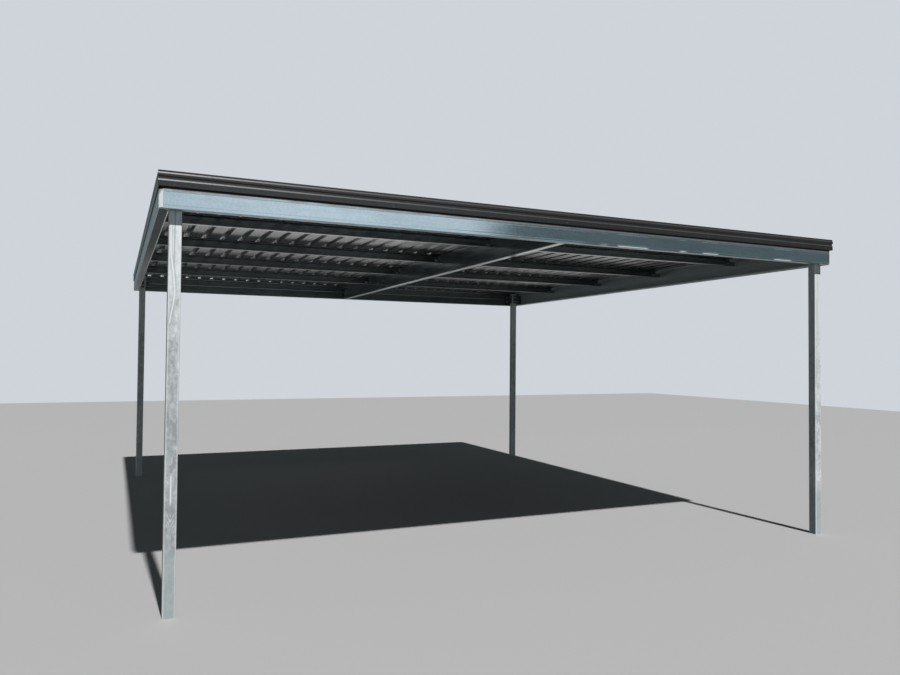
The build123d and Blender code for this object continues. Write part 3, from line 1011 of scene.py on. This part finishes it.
@dataclass
class Frame:
    """Posts, ring beams, rafter and purlins, with the bolts and screws through their cleats."""

    fall: float = 0.0075
    shaded_from: float = -1.4
    row_zinc: RolledZinc = RolledZinc(
        "rolled_zinc_across",
        Run.ALONG_X,
        metal=0.90,
        roughness=0.16,
        # A dark bend colour: painted shade on the purlins' bends.
        worn_and_painted_light=Layer((0.08, 0.088, 0.088)),
        wear_and_painted_light=0.6,
    )
    # Painted shade: a darker copy of the purlins' zinc for the rows further back and for the back beam.
    shade_zinc: RolledZinc = replace(
        row_zinc,
        name="rolled_zinc_shaded",
        light=(0.17, 0.185, 0.185),
        dark=(0.085, 0.095, 0.095),
        metal=0.93,
        roughness=0.17,
    )
    rafter_zinc: RolledZinc = RolledZinc(
        "rolled_zinc_along", Run.ALONG_Y, light=(0.46, 0.50, 0.50), dark=(0.27, 0.30, 0.30), metal=0.62
    )
    cleat_zinc: RolledZinc = RolledZinc("rolled_zinc_upright", Run.ALONG_Z, metal=0.6)
    front_zinc: RolledZinc = RolledZinc(
        "front_web_zinc",
        Run.ALONG_X,
        light=(0.51, 0.585, 0.63),
        dark=(0.31, 0.38, 0.41),
        underside_shading=0.3,
        glints_from=0.1,
    )
    side_zinc: RolledZinc = RolledZinc(
        "side_web_zinc",
        Run.ALONG_Y,
        light=(0.46, 0.51, 0.52),
        dark=(0.28, 0.32, 0.32),
        metal=0.78,
        wear_and_painted_light=0.6,
        underside_shading=0.7,
        inner_fill=0.75,
    )
    # Near-white zinc of the corner plates: a painted highlight on their slanted faces, with rain dirt and the
    # painted shadow at their top.
    corner_highlight_zinc: RolledZinc = RolledZinc(
        "corner_highlight_zinc",
        Run.ALONG_Z,
        light=(0.90, 0.96, 0.985),
        dark=(0.80, 0.86, 0.89),
        metal=0.35,
        dirt_reach=0.024,
    )
    glint_rise: float = 0.010
    beam_web: float = 0.0024
    cleat: float = 0.003
    purlin_web: float = 0.0016
    purlin_bolt_drop: float = 0.070
    edge: float = 0.035
    post_bolts: Pair = (0.020, 0.050)
    rafter_bolts: Pair = (0.030, 0.062)
    purlin_bolts: Pair = (0.018, 0.044)
    leg_screws: Pair = (0.022, 0.044)
    rafter_cleat_height: float = 0.140
    bolt: HexHead = HexHead(
        "bolt", washer_radius=0.012, washer_height=0.002, across_flats=0.016, head_height=0.0064
    )
    tek: HexHead = HexHead("tek_screw", washer_radius=0.007)
    screws: list[Seat] = field(default_factory=list)  # into the beams and the rafter

    def dress(self) -> None:
        """Gives every length of steel the finish that runs its way."""
        fascia_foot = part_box("front_fascia")[0].z
        glints_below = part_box("front_beam")[0].z + self.glint_rise
        barge_low, barge_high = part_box("barge_left")
        barge_foot = barge_low.z + self.fall * barge_high.y
        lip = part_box("side_beam_right")[0].x
        front_zinc = replace(self.front_zinc, flashing_foot=fascia_foot, glints_below=glints_below)
        side_zinc = replace(self.side_zinc, flashing_foot=barge_foot, fall=self.fall, bright_lip=lip)
        shaded, across, upright = self.shade_zinc.build(), self.row_zinc.build(), self.cleat_zinc.build()
        give_finish("front_beam", front_zinc.build())
        give_finish("back_beam", shaded)
        give_finish("side_beam", side_zinc.build())
        give_finish("middle_rafter", self.rafter_zinc.build())
        give_finish("corner_plates", replace(self.corner_highlight_zinc, flashing_foot=fascia_foot).build())
        for kind in ("post_cleats", "rafter_cleats", "purlin_cleats"):
            give_finish(kind, upright)
        # Purlin rows behind shaded_from get the painted shade.
        for name in named("purlin_left") + named("purlin_right"):
            give_finish(name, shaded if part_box(name)[0].y > self.shaded_from else across)
        self.dress_posts()

    def dress_posts(self) -> None:
        """Gives each post its own dipped zinc, with the marks that the front ones have."""
        long_run = ZincRun(low=2.11, high=2.88, start=-0.029, half_width=0.0095)
        faint_run = ZincRun(low=1.70, high=2.60, start=-0.020, half_width=0.007)
        marks: dict[Corner, dict[str, Any]] = {
            Corner.FRONT_LEFT: {
                "runs": (
                    replace(long_run, swing=0.031, crown=2.36, swing_from=2.72),
                    ZincRun(low=0.80, high=1.05, start=0.0, half_width=0.0105),
                ),
                "chevrons": Chevrons(middle=0.70),
                "seam_depth": 0.75,
            },
            Corner.FRONT_RIGHT: {
                "runs": (replace(faint_run, swing=0.012, crown=2.20, swing_from=2.60),),
                "bloom": 0.45,
            },
        }
        for corner in Corner:
            name = corner.node("post")
            low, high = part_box(name)
            finish = DippedZinc(
                f"dipped_zinc_{corner.name.lower()}",
                middle=((low.x + high.x) / 2, (low.y + high.y) / 2),
                half=(high.x - low.x) / 2,
                top=high.z,
                **marks.get(corner, {}),
            )
            give_finish(name, finish.build())

    def build(self, finish: Material) -> None:
        """Sets the bolts of the posts, the rafter and the purlins, and the screws into the beams.

        Args:
            finish: Their material.
        """
        rafter_bolt = replace(self.bolt, name="rafter_bolt", grip=self.beam_web + self.cleat)
        purlin_bolt = replace(self.bolt, name="purlin_bolt", grip=self.purlin_web + self.cleat)
        self.bolt.spread("post_bolts", self.post_seats(), finish)
        rafter_bolt.spread("rafter_bolts", self.rafter_seats(), finish)
        purlin_bolt.spread("purlin_bolts", self.purlin_seats(), finish)
        self.tek.spread("beam_screws", self.screws, finish)

    def post_seats(self) -> list[Seat]:
        """Finds the seats at the posts' cleats, and keeps those of the screws.

        Returns:
            Seats of the bolts into the posts.
        """
        bolts: list[Seat] = []
        for corner in Corner:
            x_sign, y_sign = corner.value
            x_end, y_end = x_sign > 0, y_sign > 0
            post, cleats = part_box(corner.node("post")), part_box(corner.node("post_cleats"))
            outer_x, inner_x = post[x_end].x, post[not x_end].x
            outer_y, inner_y = post[y_end].y, post[not y_end].y
            beam_x, beam_y = cleats[x_end].x - x_sign * self.cleat, cleats[y_end].y - y_sign * self.cleat
            facing_x = Facing.LEFT if x_end else Facing.RIGHT
            facing_y = Facing.FRONT if y_end else Facing.BACK
            for z in (cleats[0].z + self.edge, cleats[1].z - self.edge):
                for inset in self.post_bolts:
                    bolts.append(((inner_x - x_sign * self.cleat, outer_y - y_sign * inset, z), facing_x))
                    bolts.append(((outer_x - x_sign * inset, inner_y - y_sign * self.cleat, z), facing_y))
                for inset in self.leg_screws:
                    self.screws.append(((inner_x - x_sign * inset, beam_y, z), facing_y))
                    self.screws.append(((beam_x, inner_y - y_sign * inset, z), facing_x))
        return bolts

    def rafter_seats(self) -> list[Seat]:
        """Finds the seats at the rafter's cleats, and keeps those of the screws.

        Returns:
            Seats of the bolts through the rafter.
        """
        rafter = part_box("middle_rafter")
        low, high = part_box("rafter_cleats")
        bolts: list[Seat] = []
        front = (rafter[0].y, low.y, 1, high.z - self.rafter_cleat_height, Facing.BACK)
        back = (rafter[1].y, high.y, -1, low.z, Facing.FRONT)
        for end_y, beam_y, inward, bottom, facing in (front, back):
            for z in (bottom + self.edge, bottom + self.rafter_cleat_height - self.edge):
                for inset in self.rafter_bolts:
                    bolts.append(((low.x + self.cleat, end_y + inward * inset, z), Facing.RIGHT))
                for inset in self.leg_screws:
                    self.screws.append(((low.x + inset, beam_y + inward * self.cleat, z), facing))
        return bolts

    def purlin_seats(self) -> list[Seat]:
        """Finds the seats at the purlins' cleats, and keeps those of the screws.

        Returns:
            Seats of the bolts through the purlins.
        """
        bolts: list[Seat] = []
        left_lines, right_lines = ("side_left", "rafter_right"), ("rafter_left", "side_right")
        left_faces = [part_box(f"purlin_cleats_{line}")[0].x + self.cleat for line in left_lines]
        right_faces = [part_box(f"purlin_cleats_{line}")[1].x - self.cleat for line in right_lines]
        for name in named("purlin_left") + named("purlin_right"):
            low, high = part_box(name)
            z = high.z - self.purlin_bolt_drop
            for inset in self.purlin_bolts:
                for x in (low.x + inset, high.x - inset):
                    bolts.append(((x, high.y - self.purlin_web, z), Facing.FRONT))
                if name.startswith("purlin_left"):
                    self.screws += [((x, high.y + inset, z), Facing.RIGHT) for x in left_faces]
                    self.screws += [((x, high.y + inset, z), Facing.LEFT) for x in right_faces]
        return bolts


@dataclass
class Gutter:
    """Gutter behind the back beam with its brackets and outlet, and the screws that hold it."""

    steel: float = 0.0006
    bracket: float = 0.003
    bracket_width: float = 0.025
    bracket_count: int = 7
    leg_screws: Pair = (0.022, 0.046)
    trough_drop: float = 0.020
    screw: HexHead = HexHead("gutter_screw", Slot.FLASHING, washer_radius=0.007)

    def dress(self, paint: Material) -> None:
        """Gives the gutter's pieces their finish."""
        give_finish("gutter", paint)

    def build(self, finish: Material) -> None:
        """Sets two screws in each bracket's leg and one in the trough's wall above it.

        Args:
            finish: The screws' material.
        """
        low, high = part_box("gutter_brackets")
        walls_low, walls_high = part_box("gutter_walls")
        first = low.x + self.bracket_width / 2
        pitch = (high.x - low.x - self.bracket_width) / (self.bracket_count - 1)
        seats: list[Seat] = []
        for count in range(self.bracket_count):
            x = first + count * pitch
            seats.append(((x, walls_low.y + self.steel, walls_high.z - self.trough_drop), Facing.BACK))
            for inset in self.leg_screws:
                seats.append(((x, low.y + self.bracket, high.z - inset), Facing.BACK))
        self.screw.spread("gutter_screws", seats, finish)


@dataclass(frozen=True)
class SoftBox:
    """A flat soft light that is seen in the steel's reflections alone."""

    name: str
    centre: Point
    facing: Facing
    width: float
    height: float
    radiance: float
    colour: Colour = (1.0, 1.0, 1.0)

    def build(self) -> None:
        """Adds the light."""
        data = bpy.data.lights.new(self.name, "AREA")
        data.shape = "RECTANGLE"
        data.size = self.width
        data.size_y = self.height
        data.energy = self.radiance * math.pi * self.width * self.height
        data.color = self.colour
        light = bpy.data.objects.new(self.name, data)
        turn = (-Vector(self.facing.value)).to_track_quat("Z", "Y").to_matrix().to_4x4()
        light.matrix_world = Matrix.Translation(self.centre) @ turn
        light.visible_camera = False
        light.visible_diffuse = False
        bpy.context.collection.objects.link(light)


@dataclass
class Studio:
    """Floor, lights and camera."""

    eye: Point = (-3.7285, -9.2198, 1.9102)
    yaw: float = 0.4271
    pitch: float = 0.0255
    roll: float = 0.0087
    lens: float = 29.56
    sensor: float = 36.0
    sun_from: Point = (0.016, -0.573, 0.819)
    sun_strength: float = 4.2
    sun_angle: float = 1.2
    sky: Colour = (0.66, 0.77, 0.82)
    sky_strength: float = 0.095
    backdrop: Colour = (0.62, 0.66, 0.70)
    floor_size: float = 46.0
    far: float = 400.0
    boxes: tuple[SoftBox, ...] = (
        SoftBox("front_box", (-0.25, -15.6, 5.0), Facing.BACK, 11.5, 8.0, 1.05, (0.86, 0.95, 1.0)),
        SoftBox("right_box", (13.2, -15.6, 6.1), Facing.BACK, 15.4, 5.8, 0.087, (0.5, 0.94, 1.0)),
        SoftBox("right_low_box", (13.2, -15.6, 1.9), Facing.BACK, 15.4, 2.4, 0.33, (0.75, 0.96, 1.0)),
        SoftBox("back_box", (-6.4, 16.0, 6.2), Facing.FRONT, 5.6, 7.6, 0.17, (0.68, 0.88, 1.0)),
        SoftBox("wall_box", (7.9, 6.5, 1.7), Facing.FRONT, 6.2, 2.4, 0.25),
        SoftBox("low_box", (-0.55, 4.2, 1.65), Facing.FRONT, 4.2, 0.45, 1.3),
        SoftBox("left_box", (-12.0, -4.0, 4.5), Facing.RIGHT, 8.0, 5.0, 0.9),
    )

    def build(self) -> None:
        """Makes the floor, the lights and the camera."""
        self.add_floor()
        self.add_sun()
        self.add_sky()
        for box in self.boxes:
            box.build()
        self.add_camera()

    def add_floor(self) -> None:
        """Adds the plain pale floor, which isn't part of the object."""
        clear_selection()
        bpy.ops.mesh.primitive_plane_add(size=self.floor_size)
        floor = bpy.context.object
        floor.name = "floor"
        floor.data.materials.append(PaleFloor().build())
        floor.visible_diffuse = False

    def add_sun(self) -> None:
        """Adds the key light, high in front as in the photograph."""
        sun = bpy.data.lights.new("key", "SUN")
        sun.energy = self.sun_strength
        sun.angle = math.radians(self.sun_angle)
        light = bpy.data.objects.new("key", sun)
        light.rotation_euler = Vector(self.sun_from).to_track_quat("Z", "Y").to_euler()
        bpy.context.collection.objects.link(light)

    def add_sky(self) -> None:
        """Sets the soft pale surround."""
        world = bpy.data.worlds.new("surround")
        world.use_nodes = True
        nodes, links = world.node_tree.nodes, world.node_tree.links
        background = nodes["Background"]
        background.inputs["Color"].default_value = (*self.sky, 1.0)
        background.inputs["Strength"].default_value = self.sky_strength
        behind = nodes.new("ShaderNodeBackground")
        behind.inputs["Color"].default_value = (*self.backdrop, 1.0)
        seen = nodes.new("ShaderNodeLightPath").outputs["Is Camera Ray"]
        mix = nodes.new("ShaderNodeMixShader")
        for socket, output in zip(mix.inputs, (seen, background.outputs[0], behind.outputs[0])):
            links.new(output, socket)
        links.new(mix.outputs[0], nodes["World Output"].inputs["Surface"])
        bpy.context.scene.world = world

    def add_camera(self) -> None:
        """Adds the camera where the photograph was taken from."""
        data = bpy.data.cameras.new("camera")
        data.lens = self.lens
        data.sensor_width = self.sensor
        data.clip_end = self.far
        camera = bpy.data.objects.new("camera", data)
        flat = math.cos(self.pitch)
        ahead = Vector((math.sin(self.yaw) * flat, math.cos(self.yaw) * flat, math.sin(self.pitch)))
        level = Vector((math.cos(self.yaw), -math.sin(self.yaw), 0.0))
        upright = level.cross(ahead)
        right = level * math.cos(self.roll) + upright * math.sin(self.roll)
        up = upright * math.cos(self.roll) - level * math.sin(self.roll)
        turn = Matrix((right, up, -ahead)).transposed().to_4x4()
        camera.matrix_world = Matrix.Translation(self.eye) @ turn
        bpy.context.collection.objects.link(camera)
        bpy.context.scene.camera = camera


NODES: dict[str, Piece] = {}


def named(start: str) -> list[str]:
    """Names of the CAD nodes that start so."""
    return [name for name in NODES if name.startswith(start)]


def give_finish(start: str, material: Material) -> None:
    """Puts one material on every CAD node whose name starts so.

    Args:
        start: Start of the names.
        material: Their finish.
    """
    for name in named(start):
        NODES[name].data.materials.clear()
        NODES[name].data.materials.append(material)


def main() -> None:
    """Builds the looks."""
    logging.basicConfig(level=logging.INFO, format="%(message)s")
    NODES.update(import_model()["nodes"])
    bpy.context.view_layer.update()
    bpy.context.scene.view_settings.view_transform = "Standard"

    roof = Roof()
    roof.dress(RoofSteel("roof_steel").build())
    heads = PAINTED.build()
    roof.build(heads)

    across = DarkPaint("dark_paint_across", Run.ALONG_X).build()
    along = DarkPaint("dark_paint_along", Run.ALONG_Y, gloss=0.5, roughness=0.16).build()
    edging = Edging(roof)
    edging.dress(across, along)
    edging.build(heads)

    frame = Frame()
    frame.dress()
    frame.build(PLATED.build())

    gutter = Gutter()
    gutter.dress(across)
    gutter.build(heads)

    Studio().build()


if __name__ == "__main__":
    main()
